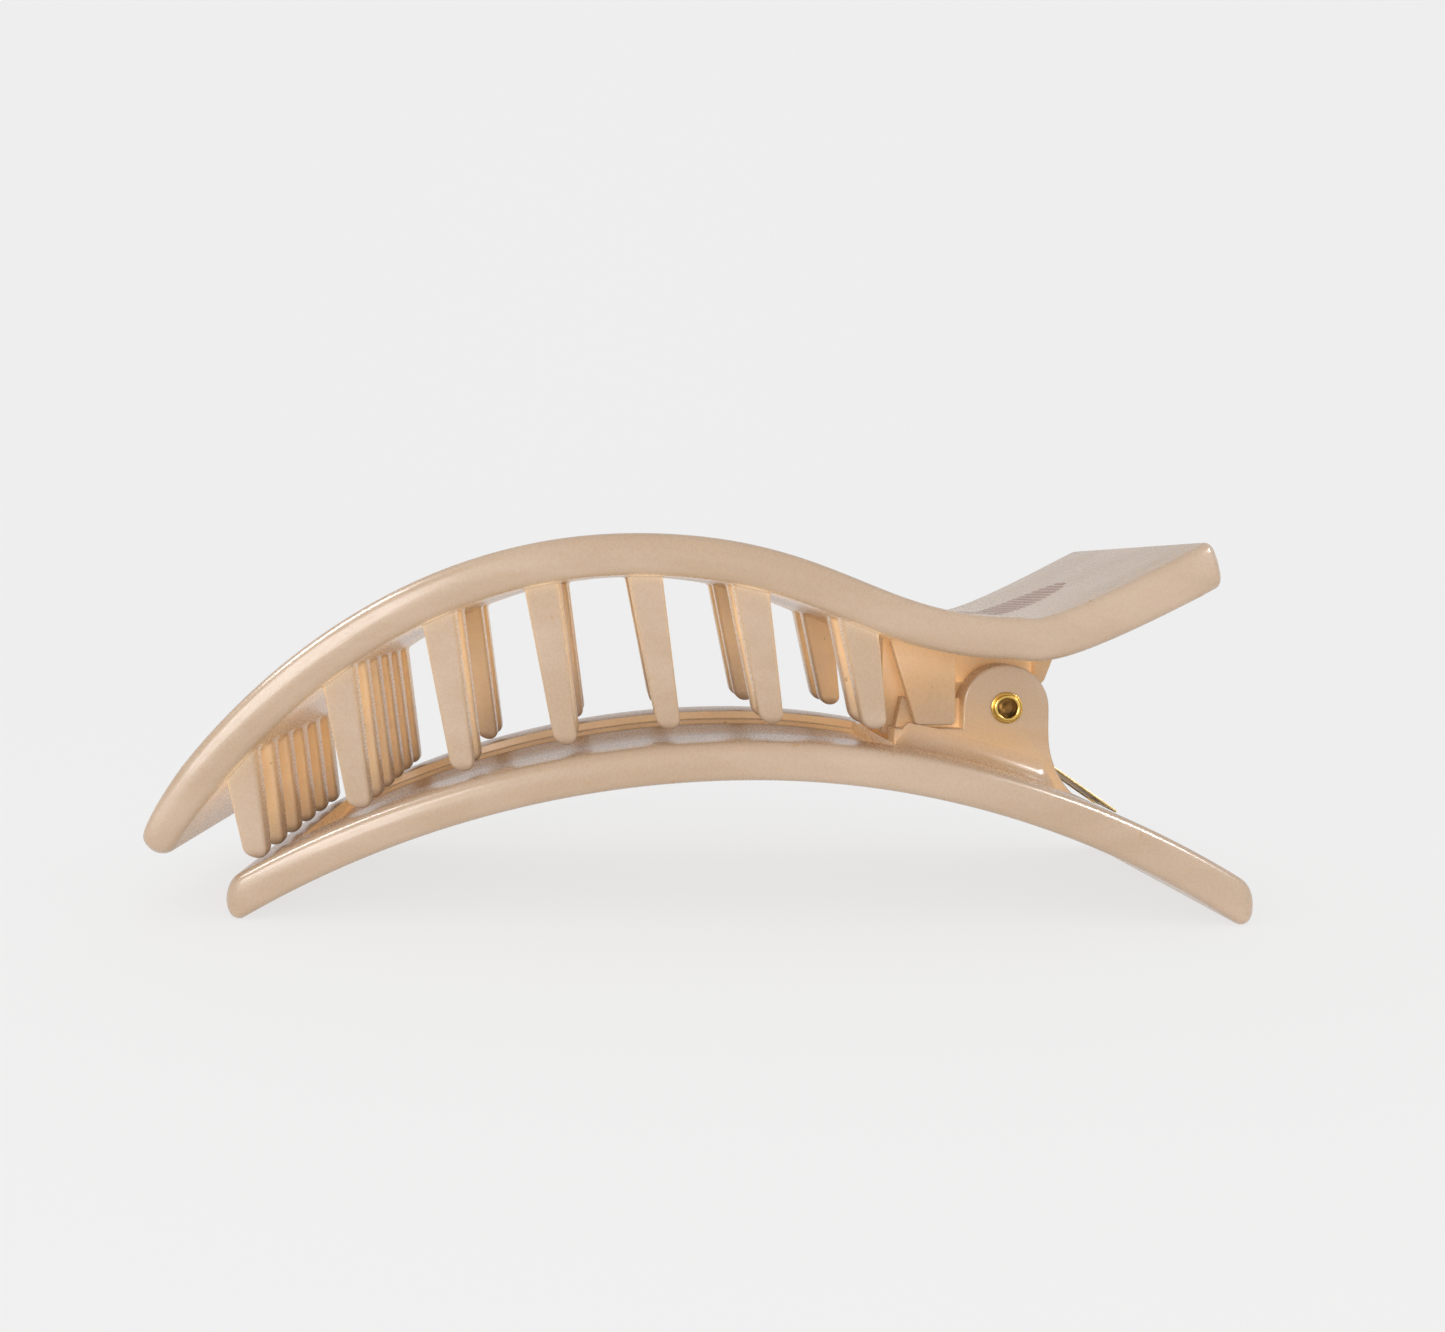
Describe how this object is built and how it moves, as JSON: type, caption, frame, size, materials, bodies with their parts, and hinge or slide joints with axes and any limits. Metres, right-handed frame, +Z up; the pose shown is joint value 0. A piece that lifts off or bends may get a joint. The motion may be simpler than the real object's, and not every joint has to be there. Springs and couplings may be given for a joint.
{
  "type": "alligator hair clip",
  "caption": "Large curved alligator hair clip with a toothed upper jaw, an arched lower jaw, finger handles and a sprung hinge on a hollow rivet.",
  "frame": {"origin": "middle of the clip's length and width, on the surface that the two ends of the lower jaw stand on", "axes": "+X along the clip from the toothed tip to the finger handles, +Y across the clip along the hinge, +Z up from the lower jaw to the upper jaw"},
  "size_m": [0.116, 0.036, 0.0404],
  "materials": {
    "pearl_plastic": "pearl",
    "gold_metal": "polished"
  },
  "bodies": {
    "lower": {"lower_jaw": "pearl_plastic", "hinge_rivet": "gold_metal", "flat_spring": "gold_metal"},
    "upper": {"upper_jaw": "pearl_plastic"}
  },
  "joints": [
    {"name": "jaw_hinge", "type": "hinge", "parent": "lower", "child": "upper", "pos_m": [0.0347, 0, 0.02155], "axis": [0, 1, 0], "range_deg": [0, 50], "stiffness_Nm_per_rad": 0.1, "springref_deg": -45.84, "deforming": ["flat_spring"]}
  ]
}
